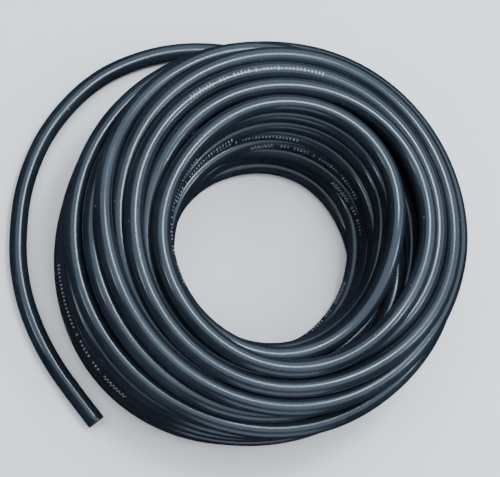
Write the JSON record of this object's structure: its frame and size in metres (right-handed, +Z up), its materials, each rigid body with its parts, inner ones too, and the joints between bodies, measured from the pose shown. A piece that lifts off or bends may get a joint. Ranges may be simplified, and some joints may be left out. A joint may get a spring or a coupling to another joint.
{
  "type": "coiled ignition cable",
  "caption": "Loose round coil of glossy dark round automotive ignition cable lying flat, its free end running round the outside and ending in a square cut that shows the cable's layers.",
  "frame": {"origin": "on the floor that the coil lies on, on the axis of the coil's eye", "axes": "+Z up along the eye's axis; the free end leaves the coil on the +Y side, runs round the -X side and ends at -X -Y"},
  "size_m": [0.1825, 0.1745, 0.053],
  "materials": {
    "jacket": "smooth extruded jacket, glossy, blue-black, with pale printed marks",
    "braid": "woven glass-fibre yarn",
    "insulation": "matt cut rubber",
    "resistance_wire": "fine bright wire, close wound",
    "ferrite_rubber": "matt, slightly sparkling",
    "strength_core": "stranded aramid yarn"
  },
  "bodies": {
    "root": {"wound_coil": "jacket", "tail_jacket": "jacket", "tail_braid": "braid", "tail_insulation": "insulation", "tail_resistance_winding": "resistance_wire", "tail_ferrite_layer": "ferrite_rubber", "tail_core": "strength_core"}
  },
  "joints": []
}
